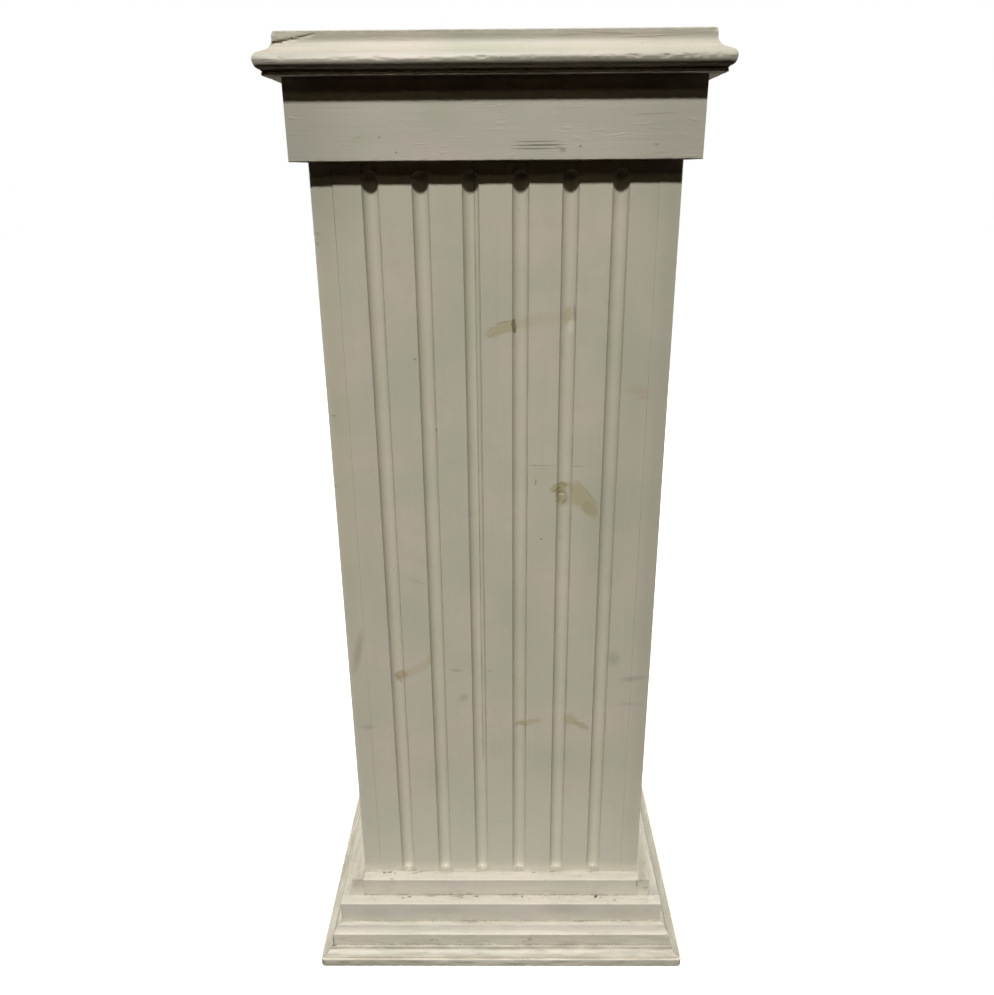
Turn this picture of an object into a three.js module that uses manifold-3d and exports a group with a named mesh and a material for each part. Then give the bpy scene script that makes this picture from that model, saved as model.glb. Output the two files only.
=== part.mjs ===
// A square pedestal column in painted softwood: a hollow box of four boards, fluted on its
// front and sides, on a stepped and moulded base, under a plain frieze and a mitred cornice.
// Millimetres, +Z up, the front faces -Y, and the origin is the middle of the underside.
import * as THREE from "three";
import { mergeVertices } from "three/addons/utils/BufferGeometryUtils.js";
import Module from "manifold-3d";

const wasm = await Module();
wasm.setup();

// Clearances between pieces
const glueLine = 0.2; // between two pieces fixed face to face
const mitreGap = 0.3; // across the cut of a mitred corner

// The shaft, a box of four boards
const totalHeight = 1000;
const shaftWidth = 330; // over the side boards, the same on all four sides
const boardThickness = 20;
const topBoardThickness = 20;
const frontProud = 0.8; // the front and back boards stand out past the side boards' edges
const cornerRadius = 1.5; // the eased vertical corners of the side boards

// The flutes, cut with a round-nosed tool and stopped at both ends
const fluteWidth = 15; // at the face of the board
const fluteDepth = 5;
const flutePitch = 44.6;
const fluteMargin = 53.5; // from the shaft's edge to the middle of the first flute, at least
const fluteTopGap = 7; // from the frieze down to the top of a flute
const fluteFootGap = 3.5; // from the base up to the foot of a flute

// The frieze, plain boards round the top of the shaft
const friezeThickness = 13.3;
const friezeHeight = 100; // to the very top, behind the cornice

// The cornice, one moulding on the frieze. Depths run down from the top, reaches run out
// from the moulding's back, and angles turn down from level.
const corniceTopReach = 4; // the narrow top edge
const corniceFilletDepth = 6.5; // the upright band under it
const corniceCoveRadius = 8.8;
const corniceSlopeAngle = 22; // of the weathering under the cove
const corniceSlopeLength = 4.8;
const corniceShoulderRadius = 8;
const corniceArrisAngle = 78; // where the shoulder ends in an arris
const corniceNoseDepth = 4; // the nose under the arris
const corniceNoseAngle = 98; // it leans back by 8 degrees
const corniceBellyRadius = 4.2;
const corniceBellyAngle = 165; // the belly turns nearly level, inwards
const corniceQuirkDepth = 1; // the small sunk line between belly and lower fillet
const corniceLowerInset = 2; // the lower fillet, behind the end of the belly
const corniceLowerDepth = 2.2;

// The base, layer on layer from the shaft outwards, all standing on the foot board
const footThickness = 11;
const footMargin = 1.5; // the foot board stands out past the lowest moulding
const footCornerRadius = 5;
const upperStepThickness = 13.3;
const upperStepHeight = 85.8;
const lowerStepThickness = 13.1;
const lowerStepHeight = 61.8;
const upperCoveHeight = 34.6; // the whole moulding
const upperCoveLedge = 5.3; // its flat top
const upperCoveReach = 5.4; // the hollow, outwards
const upperCoveDrop = 9.8; // the hollow, downwards
const lowerCoveHeight = 8.3;
const lowerCoveLedge = 2.5;
const lowerCoveReach = 9.1;
const lowerCoveDrop = 6.8;
const arrisRadius = 0.9; // eased edges of the plain strips

// How finely curves are cut into flats
const arcStep = 12; // degrees for each flat of a small moulding
const fluteFacets = 28; // round a whole cutter
const fluteEndRings = 6; // from a cutter's side to its tip

// What follows from those sizes
const shaftHalf = shaftWidth / 2;
const baseTop = footThickness + glueLine; // where everything above the foot board starts
const friezeBottom = totalHeight - friezeHeight;
const boardTop = totalHeight - topBoardThickness - glueLine;
const upperStepBack = shaftHalf + glueLine;
const upperStepFace = upperStepBack + upperStepThickness;
const lowerStepBack = upperStepFace + glueLine;
const lowerStepFace = lowerStepBack + lowerStepThickness;
const upperCoveBack = lowerStepFace + glueLine;
const upperCoveFace = upperCoveBack + upperCoveLedge + upperCoveReach;
const lowerCoveBack = upperCoveFace + glueLine;
const lowerCoveFace = lowerCoveBack + lowerCoveLedge + lowerCoveReach;
const footHalf = lowerCoveFace + footMargin;
const friezeBack = shaftHalf + glueLine;
const friezeFace = friezeBack + friezeThickness;
const corniceBack = friezeFace + glueLine;

const rad = THREE.MathUtils.degToRad;

// Points along an arc about (cx, cy), from one angle to another in degrees, ends included
function arc(cx, cy, rx, ry, from, to) {
  const steps = Math.max(2, Math.ceil(Math.abs(to - from) / arcStep));
  return Array.from({ length: steps + 1 }, (_, i) => {
    const a = rad(from + ((to - from) * i) / steps);
    return [cx + rx * Math.cos(a), cy + ry * Math.sin(a)];
  });
}

// Profiles are lists of [reach, height]: reach runs outwards from the piece's back.

// A plain strip with its two outer edges eased
function stripProfile(thickness, bottom, top) {
  const r = Math.min(arrisRadius, thickness / 3);
  return [
    [0, bottom],
    ...arc(thickness - r, bottom + r, r, r, -90, 0),
    ...arc(thickness - r, top - r, r, r, 0, 90),
    [0, top],
  ];
}

// A strip whose top is a flat ledge and then a hollow, upright above and level below
function coveProfile(ledge, reach, drop, height) {
  const top = baseTop + height;
  return [
    [0, baseTop],
    [ledge + reach, baseTop],
    ...arc(ledge + reach, top, reach, drop, -90, -180),
    [0, top],
  ];
}

// The cornice, followed from its top edge down to its soffit. A heading is the angle of
// travel below level, so a curve of radius r goes about a centre square to its heading.
function corniceProfile() {
  const path = [[0, totalHeight]];
  const go = (reach, depth) => {
    const [r, z] = path.at(-1);
    path.push([r + reach, z - depth]);
  };
  const curve = (radius, from, to) => {
    const side = Math.sign(to - from); // bulging where the heading grows, hollow where it shrinks
    const [r, z] = path.at(-1);
    const centre = [
      r - side * radius * Math.sin(rad(from)),
      z - side * radius * Math.cos(rad(from)),
    ];
    const ring = arc(0, 0, radius, radius, from, to).slice(1);
    for (const [c, s] of ring) path.push([centre[0] + side * s, centre[1] + side * c]);
  };
  const rounding = Math.min(arrisRadius, corniceTopReach / 3);
  go(corniceTopReach - rounding, 0);
  curve(rounding, 0, 90);
  go(0, corniceFilletDepth - rounding);
  curve(corniceCoveRadius, 90, corniceSlopeAngle);
  const slope = rad(corniceSlopeAngle);
  go(corniceSlopeLength * Math.cos(slope), corniceSlopeLength * Math.sin(slope));
  curve(corniceShoulderRadius, corniceSlopeAngle, corniceArrisAngle);
  go(corniceNoseDepth / Math.tan(rad(corniceNoseAngle)), corniceNoseDepth);
  curve(corniceBellyRadius, corniceNoseAngle, corniceBellyAngle);
  go(-corniceLowerInset, corniceLowerInset / 4);
  go(-corniceQuirkDepth, corniceQuirkDepth);
  go(corniceQuirkDepth, corniceQuirkDepth / 2);
  go(0, corniceLowerDepth);
  path.push([0, path.at(-1)[1]]);
  return path;
}

// A closed surface as a solid for cutting, with shared corners merged and slivers dropped
function toSolid(geometry) {
  const bare = geometry.index ? geometry.toNonIndexed() : geometry.clone();
  bare.deleteAttribute("normal");
  bare.deleteAttribute("uv");
  const merged = mergeVertices(bare, 1e-4);
  const corners = [];
  const index = merged.index.array;
  for (let i = 0; i < index.length; i += 3) {
    const [a, b, c] = index.slice(i, i + 3);
    if (a !== b && b !== c && c !== a) corners.push(a, b, c);
  }
  return new wasm.Manifold(
    new wasm.Mesh({
      numProp: 3,
      vertProperties: merged.getAttribute("position").array,
      triVerts: new Uint32Array(corners),
    }),
  );
}

function toGeometry(solid) {
  const { vertProperties, triVerts } = solid.getMesh();
  const geometry = new THREE.BufferGeometry();
  geometry.setAttribute("position", new THREE.BufferAttribute(vertProperties, 3));
  geometry.setIndex(new THREE.BufferAttribute(triVerts, 1));
  return finished(geometry);
}

// Flat shading, so each face of a board keeps its own normal
function finished(geometry) {
  const flat = geometry.index ? geometry.toNonIndexed() : geometry;
  flat.computeVertexNormals();
  return flat;
}

// Every piece below is made on the front, facing -Y, and turned to its own side afterwards.

// A length of trim: the profile stands on a back plane and runs along X. Its half length at
// each reach comes from endAt, which makes the ends square or mitred.
function trim(profile, back, endAt) {
  const shape = new THREE.Shape(profile.map(([r, z]) => new THREE.Vector2(r, z)));
  const geometry = new THREE.ExtrudeGeometry(shape, { depth: 1, bevelEnabled: false });
  const position = geometry.getAttribute("position");
  for (let i = 0; i < position.count; i++) {
    const reach = position.getX(i);
    const side = position.getZ(i) > 0.5 ? -1 : 1;
    position.setXYZ(i, side * endAt(reach), -(back + reach), position.getY(i));
  }
  return finished(geometry);
}

const squareEnd = (half) => () => half;
const mitredEnd = (back) => (reach) => back + reach - mitreGap / Math.SQRT2;

// An upright board with eased outer corners, its face at the given distance from the axis
function board(width, thickness, face, bottom, top, radius) {
  const [x, inner, outer] = [width / 2, face - thickness, face];
  const plan = [
    [-x, -inner],
    ...(radius ? arc(-x + radius, -outer + radius, radius, radius, 180, 270) : [[-x, -outer]]),
    ...(radius ? arc(x - radius, -outer + radius, radius, radius, 270, 360) : [[x, -outer]]),
    [x, -inner],
  ];
  const shape = new THREE.Shape(plan.map(([px, py]) => new THREE.Vector2(px, py)));
  return new THREE.ExtrudeGeometry(shape, { depth: top - bottom, bevelEnabled: false }).translate(
    0,
    0,
    bottom,
  );
}

// The flutes of one side: as many as the margin and pitch allow, spread evenly
function fluteCentres() {
  const span = shaftWidth - 2 * fluteMargin;
  const spaces = Math.max(1, Math.round(span / flutePitch));
  return Array.from({ length: spaces + 1 }, (_, i) => -span / 2 + (i * span) / spaces);
}

function fluted(geometry, face) {
  const radius = (fluteWidth ** 2 / 4 + fluteDepth ** 2) / (2 * fluteDepth);
  const top = friezeBottom - fluteTopGap;
  const foot = baseTop + upperStepHeight + fluteFootGap;
  // The cutter's tip is hidden in front of the face, so its ends reach past the flute's own
  const length = top - foot - fluteWidth;
  let solid = toSolid(geometry);
  for (const x of fluteCentres()) {
    const cutter = new THREE.CapsuleGeometry(radius, length, fluteEndRings, fluteFacets)
      .rotateY(Math.PI / fluteFacets)
      .rotateX(Math.PI / 2)
      .translate(x, -(face + radius - fluteDepth), (top + foot) / 2);
    solid = solid.subtract(toSolid(cutter));
  }
  return toGeometry(solid);
}

// Paint: the same cream grey everywhere, a little darker and duller where feet reach it
const paint = () => new THREE.MeshStandardMaterial({ color: 0xbab39f, roughness: 0.62 });
const scuffedPaint = () => new THREE.MeshStandardMaterial({ color: 0xa69e89, roughness: 0.75 });

const pedestal = new THREE.Group();

function add(name, geometry, turn = 0, material = paint()) {
  const mesh = new THREE.Mesh(geometry, material);
  mesh.name = name;
  mesh.rotation.z = rad(turn);
  pedestal.add(mesh);
}

// Turns that carry the front to each side
const turns = { front: 0, right: 90, back: 180, left: -90 };

// Four runs of trim: mitred, or square with one pair of sides running through to the
// corners and the other pair standing between them
function addTrim(name, profile, back, thickness, through) {
  for (const [side, turn] of Object.entries(turns)) {
    const runsThrough = through === "front" ? turn % 180 === 0 : turn % 180 !== 0;
    const end = !through
      ? mitredEnd(back)
      : squareEnd(runsThrough ? back + thickness : back - glueLine);
    add(`${name}_${side}`, trim(profile, back, end), turn);
  }
}

// Foot board, one square slab with rounded corners
const footPlan = new THREE.Shape(
  [
    [1, 1, 0],
    [-1, 1, 90],
    [-1, -1, 180],
    [1, -1, 270],
  ].flatMap(([sx, sy, from]) => {
    const c = footHalf - footCornerRadius;
    const r = footCornerRadius;
    return arc(sx * c, sy * c, r, r, from, from + 90).map(([x, y]) => new THREE.Vector2(x, y));
  }),
);
const footSlab = new THREE.ExtrudeGeometry(footPlan, { depth: footThickness, bevelEnabled: false });
add("foot_board", finished(footSlab), 0, scuffedPaint());

// Shaft boards: the side boards run the full depth, front and back stand between them
const middleWidth = shaftWidth - 2 * (boardThickness + glueLine);
const sideWidth = shaftWidth - 2 * frontProud;
const middleBoard = board(middleWidth, boardThickness, shaftHalf, baseTop, boardTop, 0);
const sideBoard = board(sideWidth, boardThickness, shaftHalf, baseTop, boardTop, cornerRadius);
add("shaft_front_board", fluted(middleBoard, shaftHalf));
add("shaft_back_board", finished(middleBoard), turns.back);
add("shaft_left_board", fluted(sideBoard, shaftHalf), turns.left);
add("shaft_right_board", fluted(sideBoard, shaftHalf), turns.right);

// Top board, a square lid that lies on the shaft boards inside the frieze
const lid = new THREE.BoxGeometry(shaftWidth, shaftWidth, topBoardThickness);
add("top_board", finished(lid.translate(0, 0, totalHeight - topBoardThickness / 2)));

// Frieze and cornice
const friezeProfile = stripProfile(friezeThickness, friezeBottom, totalHeight);
addTrim("frieze", friezeProfile, friezeBack, friezeThickness, "front");
addTrim("cornice", corniceProfile(), corniceBack);

// Base: two plain steps and two hollow mouldings, each fixed on the one behind it
const upperStep = stripProfile(upperStepThickness, baseTop, baseTop + upperStepHeight);
const lowerStep = stripProfile(lowerStepThickness, baseTop, baseTop + lowerStepHeight);
const upperCove = coveProfile(upperCoveLedge, upperCoveReach, upperCoveDrop, upperCoveHeight);
const lowerCove = coveProfile(lowerCoveLedge, lowerCoveReach, lowerCoveDrop, lowerCoveHeight);
addTrim("upper_step", upperStep, upperStepBack, upperStepThickness, "side");
addTrim("lower_step", lowerStep, lowerStepBack, lowerStepThickness, "front");
addTrim("upper_cove", upperCove, upperCoveBack);
addTrim("lower_cove", lowerCove, lowerCoveBack);

export default pedestal;
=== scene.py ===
# %% [markdown]
# # A painted pedestal column
# This lesson dresses a joiner-made pedestal: a hollow box of pine boards, fluted, on a
# stepped base, with a frieze and a mitred cornice, all brushed with one cream-grey paint.
# The imported model gives every board its place. We load it first and keep its parts, and
# each piece we make is fitted to its part's box.

# %% Load the imported model
import math
import bpy
from mathutils import Matrix, Vector


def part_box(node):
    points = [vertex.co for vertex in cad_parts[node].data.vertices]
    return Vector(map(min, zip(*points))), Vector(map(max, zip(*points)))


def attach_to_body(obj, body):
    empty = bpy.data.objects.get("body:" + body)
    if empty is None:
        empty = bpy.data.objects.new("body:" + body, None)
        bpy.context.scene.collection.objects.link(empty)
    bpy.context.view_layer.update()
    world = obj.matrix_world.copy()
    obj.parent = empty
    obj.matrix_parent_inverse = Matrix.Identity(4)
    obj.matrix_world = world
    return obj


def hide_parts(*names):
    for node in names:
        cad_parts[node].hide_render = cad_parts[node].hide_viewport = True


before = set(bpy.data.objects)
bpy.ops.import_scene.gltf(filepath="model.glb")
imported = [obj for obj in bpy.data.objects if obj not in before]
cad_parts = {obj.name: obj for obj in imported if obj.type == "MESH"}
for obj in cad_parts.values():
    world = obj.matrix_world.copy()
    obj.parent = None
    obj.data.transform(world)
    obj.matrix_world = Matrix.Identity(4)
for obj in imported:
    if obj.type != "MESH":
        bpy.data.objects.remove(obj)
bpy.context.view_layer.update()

MM = 0.001  # the scene is in metres, the sizes below are in millimetres

# %% [markdown]
# ## Sizes
# Widths and levels are read from the boards themselves, so a mesh made here lands where
# its board is. Only what a box can't tell, such as the shape of a profile, is named again.

# %% Read the faces and levels
def reach(node, side=1):
    """How far the front of a node stands out from the axis, in mm (side 1), or its back (0)."""
    low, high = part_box(node)
    return -(low[1] if side else high[1]) / MM


def levels(node):
    low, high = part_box(node)
    return low[2] / MM, high[2] / MM


SHAFT_FACE, SHAFT_BACK = reach("shaft_front_board"), reach("shaft_front_board", 0)
BOARD_BOTTOM, BOARD_TOP = levels("shaft_front_board")
FRIEZE_BOTTOM, BASE_TOP = levels("frieze_front")[0], levels("upper_step_front")[1]
print(f"shaft face {SHAFT_FACE:.1f}, board {SHAFT_FACE - SHAFT_BACK:.1f}, levels "
      f"{BOARD_BOTTOM:.1f} {BASE_TOP:.1f} {FRIEZE_BOTTOM:.1f} {BOARD_TOP:.1f}")

# %% [markdown]
# ## Camera
# The photograph was taken from about a metre away, a little below the top, looking down
# by 21 degrees. Parallel edges drawn together towards the floor are its perspective: the
# shaft itself is straight. The camera's place comes from a fit to the straight edges.

# %% Place the camera
CAMERA_AT = (7.03, -964.2, 892.1)
PITCH, YAW, ROLL = math.radians(21.082), math.radians(-0.564), math.radians(0.438)
FOCAL_PIXELS, FRAME_PIXELS = 848.379, 995

forward = Vector((math.sin(YAW) * math.cos(PITCH), math.cos(YAW) * math.cos(PITCH), -math.sin(PITCH)))
level_right = Vector((math.cos(YAW), -math.sin(YAW), 0))
level_down = forward.cross(level_right)
right = level_right * math.cos(ROLL) + level_down * math.sin(ROLL)
down = level_down * math.cos(ROLL) - level_right * math.sin(ROLL)

camera_data = bpy.data.cameras.new("view")
camera_data.sensor_width = 36
camera_data.lens = FOCAL_PIXELS / FRAME_PIXELS * camera_data.sensor_width
camera_data.clip_end = 100
camera = bpy.data.objects.new("view", camera_data)
turn = Matrix((right, -down, -forward)).transposed().to_4x4()
camera.matrix_world = Matrix.Translation(Vector(CAMERA_AT) * MM) @ turn
bpy.context.scene.collection.objects.link(camera)
bpy.context.scene.camera = camera
print(f"lens {camera_data.lens:.2f} mm")

# %% [markdown]
# ## Light and floor
# One small hard lamp stands high in front, a little to the left: it gives the crisp dark
# shadows under the cornice and the frieze. A very weak one lower down lightens the outer
# half of those shadows, a soft panel overhead lifts what faces up, and a faint one before
# the base opens its inner corners. The side and back panels stand behind the plane of the
# front, so they leave the front as it is. The floor is near white, and a little light of
# its own hides where it ends.

# %% Add the lamp, the panels and the floor
def lamp(name, kind, at, towards, **settings):
    data = bpy.data.lights.new(name, kind)
    for key, value in settings.items():
        setattr(data, key, value)
    thing = bpy.data.objects.new(name, data)
    thing.location = Vector(at)
    thing.rotation_euler = (Vector(towards) - Vector(at)).to_track_quat("-Z", "Y").to_euler()
    bpy.context.scene.collection.objects.link(thing)


KEY_HEIGHT, KEY_LEFT = math.radians(55.8), math.radians(9)
key_from = Vector((-math.sin(KEY_LEFT) * math.cos(KEY_HEIGHT),
                   -math.cos(KEY_LEFT) * math.cos(KEY_HEIGHT), math.sin(KEY_HEIGHT))) * 4
lamp("key", "SUN", key_from, (0, 0, 0), energy=3.45, angle=math.radians(3.4))
lamp("second lamp", "SUN", (-0.3, -3.2, 2.95), (0, 0, 0), energy=0.1, angle=math.radians(2),
     color=(1.0, 0.88, 0.6))
lamp("overhead panel", "AREA", (0, -0.25, 2.6), (0, -0.2, 0), energy=2.5, size=0.9)
lamp("low front panel", "AREA", (0.1, -1.5, 0.12), (0, 0, 0.1), energy=0.03,
     shape="RECTANGLE", size=1.4, size_y=0.2)
lamp("left panel", "AREA", (-2.4, 0.6, 0.55), (0, 0.2, 0.5), energy=30, size=1.0)
lamp("right panel", "AREA", (2.4, 0.6, 0.55), (0, 0.2, 0.5), energy=30, size=1.0)
lamp("back panel", "AREA", (0.5, 2.6, 1.7), (0, 0, 0.45), energy=52, size=1.5)

bpy.ops.mesh.primitive_plane_add(size=24, location=(0, 0, -0.0005))
floor = bpy.context.object
floor.name = "floor"
floor.visible_diffuse = floor.visible_glossy = False

# %% [markdown]
# ## One helper for nodes
# Every tree in this lesson is built by one function. It adds a node, sets what is named,
# and fills its inputs in order: a socket is linked, anything else becomes the input's
# value. It hands back one output, or the whole node where out is None. A kind in capitals,
# such as MULTIPLY, is the Math node with that operation.

# %% Define the node helper
MIX, NOISE, RANGE = "ShaderNodeMix", "ShaderNodeTexNoise", "ShaderNodeMapRange"
VECTOR, JOIN, SPLIT = "ShaderNodeVectorMath", "ShaderNodeCombineXYZ", "ShaderNodeSeparateXYZ"


def add(tree, kind, *values, out=0, named=None, **settings):
    if kind.isupper():
        kind, settings = "ShaderNodeMath", {"operation": kind, **settings}
    made = tree.nodes.new(kind)
    for key, value in settings.items():
        setattr(made, key, value)
    for key, value in [*enumerate(values), *(named or {}).items()]:
        if isinstance(value, bpy.types.NodeSocket):
            tree.links.new(value, made.inputs[key])
        else:
            made.inputs[key].default_value = value
    return made if out is None else made.outputs[out]


def tone(text):
    """An sRGB hex colour as the linear RGBA that shaders take."""
    parts = [int(text[i:i + 2], 16) / 255 for i in (1, 3, 5)]
    return tuple(p / 12.92 if p <= 0.04045 else ((p + 0.055) / 1.055) ** 2.4 for p in parts) + (1,)


print("mid paint tone, linear:", [round(v, 3) for v in tone("#CBC5B1")])

# %% Give the floor and the air around it a pale tone
floor_paint = bpy.data.materials.new("pale floor")
floor_paint.use_nodes = True
floor_shader = floor_paint.node_tree.nodes["Principled BSDF"]
for label, value in (("Base Color", tone("#F4F4F3")), ("Roughness", 0.9), ("Specular IOR Level", 0.0),
                     ("Emission Color", (1, 1, 1, 1)), ("Emission Strength", 0.3)):
    floor_shader.inputs[label].default_value = value
floor.data.materials.append(floor_paint)

world = bpy.data.worlds.new("studio")
world.use_nodes = True
bpy.context.scene.world = world
air = world.node_tree
seen = add(air, "ShaderNodeLightPath", out="Is Camera Ray")
dim = add(air, "ShaderNodeBackground", (1.0, 0.42, 0.18, 1), 0.005)
pale = add(air, "ShaderNodeBackground", (1, 1, 1, 1), 1.0)
both = add(air, "ShaderNodeMixShader", seen, dim, pale)
air.links.new(both, air.nodes["World Output"].inputs["Surface"])
bpy.context.scene.view_settings.view_transform = "Standard"
print("floor and air are pale")

# %% [markdown]
# ## Marks on the paint
# Knots bleed through old paint as yellow-brown stains, and years of use leave smudges and
# scratches. Some broad ovals are painted shade and painted light instead: the darker ends
# and edges of the frieze and the shaft, shade on the right of the base, the brighter foot of
# the shaft, and highlights on an arris and on two chipped knots. Each is an oval with a
# ragged rim. One small group measures how deep inside such an oval a point lies, so a table
# of sizes in millimetres can place all of them.

# %% Build the group that measures one mark
def mark_group():
    tree = bpy.data.node_groups.new("oval mark", "ShaderNodeTree")
    for name in ("Across", "Up", "Centre Across", "Centre Up", "Half Width", "Half Height",
                 "Turn", "Feather"):
        tree.interface.new_socket(name, in_out="INPUT", socket_type="NodeSocketFloat")
    tree.interface.new_socket("Mask", in_out="OUTPUT", socket_type="NodeSocketFloat")
    given = add(tree, "NodeGroupInput", out=None).outputs
    away = add(tree, JOIN, add(tree, "SUBTRACT", given["Across"], given["Centre Across"]),
               add(tree, "SUBTRACT", given["Up"], given["Centre Up"]))
    back = add(tree, "MULTIPLY", given["Turn"], -1.0)
    turned = add(tree, "ShaderNodeVectorRotate", away, named={"Angle": back}, rotation_type="Z_AXIS")
    size = add(tree, JOIN, given["Half Width"], given["Half Height"], 1.0)
    scaled = add(tree, VECTOR, turned, size, operation="DIVIDE")
    inside = add(tree, "SUBTRACT", 1.0, add(tree, VECTOR, scaled, out="Value", operation="LENGTH"))
    soft = add(tree, "DIVIDE", inside, given["Feather"])
    mask = add(tree, RANGE, soft, -0.5, 0.5, interpolation_type="SMOOTHSTEP")
    add(tree, "NodeGroupOutput", mask, out=None)
    return tree


OVAL_MARK = mark_group()
print("mark group has", len(OVAL_MARK.nodes), "nodes")

# %% Name the marks' tones
STAIN_SHADE_AND_LIGHT = {
    "olive": "#BDB491",  # resin that has yellowed under the paint
    "knot": "#A4966A",
    "deep": "#857A55",
    "rust": "#BFAD8C",
    "grey": "#B4B09E",  # rubbed-in dust; in the broad ovals at the frieze's ends and on the shaft's edges and top corners, painted shade
    "pale": "#D8D3C2",  # wiped clean, or a chip that has been touched up; low on the shaft and along the cornice's arris, painted light, and on two chipped knots, a painted highlight
    # line: dark dashes of dirt; on the sides of the base, partly painted shade
    "line": "#948C72",
    "dark": "#4E4636",
}
print(len(STAIN_SHADE_AND_LIGHT), "tones")

# %% List the marks on the shaft's front
# across, up, half width, half height, turn in degrees, feather, tone, strength
SHAFT_MARKS = [
    (7.5, 754.6, 8.5, 5.6, 14, 0.35, "olive", 0.9), (-3, 750.6, 7.5, 5.2, 10, 0.6, "olive", 0.8),
    (12, 756, 4.5, 5.2, 12, 0.4, "olive", 0.6), (6, 759.6, 8, 0.5, 13, 0.8, "deep", 0.45),
    (-4, 747.5, 5, 0.5, 32, 0.8, "deep", 0.35), (16.2, 755.5, 2.1, 6.6, 4, 0.45, "deep", 0.95),
    (24, 757, 9, 4, 5, 0.9, "olive", 0.5), (44, 762, 26, 5, 4, 1.2, "rust", 0.32),
    # (70, 754): a chip on the knot, drawn pale as its painted highlight
    (67, 765, 4, 8, 0, 0.7, "olive", 0.85), (70, 754, 3.2, 6, 0, 0.5, "pale", 0.8),
    (73, 767, 0.7, 8, 3, 0.6, "line", 0.7),
    (62, 594, 9, 4.5, 15, 0.7, "knot", 0.9), (65, 583, 6.5, 10, 10, 0.7, "knot", 0.55),
    (60, 593, 6.5, 4.0, 10, 0.5, "olive", 0.9), (61, 592.6, 4.6, 1.7, 22, 0.5, "deep", 0.55),
    (64, 586.5, 5.0, 3.4, -8, 0.4, "deep", 0.5), (64.2, 586, 3.9, 2.4, -8, 0.5, "olive", 0.9),
    # (64.4, 585.4): the knot's pale centre, partly its own tone and partly a painted glint
    (64.4, 585.4, 3.2, 0.7, -4, 0.5, "pale", 1.0), (63, 589.3, 3.6, 0.5, -4, 0.5, "deep", 0.4),
    (67.6, 578.5, 1.1, 3.2, -30, 0.6, "deep", 0.6), (61, 580, 3.0, 0.8, 20, 0.6, "deep", 0.4),
    (87, 581, 21, 8.6, -52, 0.35, "olive", 0.95), (79.5, 588, 5.5, 13, 0, 0.5, "olive", 0.75),
    (94, 570, 11, 6, -56, 0.45, "knot", 0.35), (93, 586, 18, 0.7, -52, 0.7, "deep", 0.3),
    (43, 618, 13, 0.5, 0, 0.9, "line", 0.6), (45, 614.5, 9, 0.4, 1, 0.9, "line", 0.35),
    (80, 617, 6, 0.5, 2, 0.9, "line", 0.5), (45, 607, 12, 9, 0, 1.4, "olive", 0.18),
    (38, 600, 0.9, 3.2, 0, 0.7, "deep", 0.5), (44, 538, 1.0, 1.0, 0, 0.6, "dark", 0.6),
    (137, 693, 11, 3.2, -4, 0.9, "rust", 0.6), (141, 687, 8, 2.0, 8, 0.9, "rust", 0.5),
    (133, 698, 6, 1.5, 0, 0.9, "rust", 0.4),
    (-108, 374, 8, 4.5, 25, 0.7, "knot", 0.6), (-111, 368, 3, 5, 30, 0.7, "deep", 0.4),
    (-90, 383, 18, 5, 32, 1.1, "rust", 0.4), (-76, 395, 3, 6, -10, 1.0, "rust", 0.45),
    (25, 309, 7, 3.2, 10, 0.8, "knot", 0.6), (36, 314, 12, 3.5, 14, 1.0, "rust", 0.6),
    (80, 315, 8, 6, 0, 0.9, "olive", 0.8), (92, 309, 10, 3.5, -30, 0.8, "knot", 0.45),
    (78, 322, 6, 3, 20, 0.9, "rust", 0.5),
    (-153, 405, 4, 22, -12, 1.2, "grey", 0.9), (-149, 307, 8, 3.2, 0, 1.0, "grey", 0.6),
    (-47, 381, 6, 2.2, 0, 1.0, "grey", 0.8), (-10, 380, 1.6, 1.6, 0, 0.8, "grey", 0.9),
    (-39, 346, 6, 4, 30, 1.0, "grey", 0.7), (124, 395, 7, 8, 0, 1.1, "grey", 0.8),
    (148, 370, 14, 3.2, 6, 1.1, "grey", 0.9), (145, 337, 15, 2.2, 3, 1.1, "grey", 0.5),
    (153, 174, 6, 18, 0, 1.1, "grey", 0.4), (-85, 490, 10, 0.6, -22, 0.9, "line", 0.35),
    (-78, 725, 1.8, 0.8, -20, 0.7, "deep", 0.6), (-60, 655, 1.2, 1.6, 0, 0.8, "deep", 0.4),
    (-159, 670, 2.4, 0.8, 0, 0.8, "deep", 0.5), (-22, 633, 1.0, 1.0, 0, 0.6, "pale", 0.9),
    (-161, 840, 1.6, 2.0, 0, 0.7, "deep", 0.5), (-162, 831, 1.2, 1.6, 0, 0.7, "deep", 0.5),
    # (158, 560): painted shade, darkening the shaft's right edge
    (158, 560, 8, 330, 0, 1.6, "grey", 0.5), (-157, 640, 9, 260, 0, 1.6, "olive", 0.22),
    (20, 455, 30, 60, 0, 1.6, "grey", 0.16), (104, 520, 16, 90, 0, 1.6, "grey", 0.3),
    (120, 640, 22, 120, 0, 1.6, "grey", 0.28), (-128, 520, 14, 120, 0, 1.6, "grey", 0.18),
    # painted shade: (165, 600) down the right edge, and the two ovals at 885 in the top corners under the
    # frieze; painted light: the pale oval at (0, 130), brightening the shaft towards the floor
    (165, 600, 34, 420, 0, 1.6, "grey", 0.35), (-165, 885, 34, 50, 0, 1.6, "grey", 0.8),
    (165, 885, 45, 50, 0, 1.6, "grey", 0.4), (0, 130, 230, 80, 0, 1.6, "pale", 0.6),
]
print(len(SHAFT_MARKS), "marks on the shaft")

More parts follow.
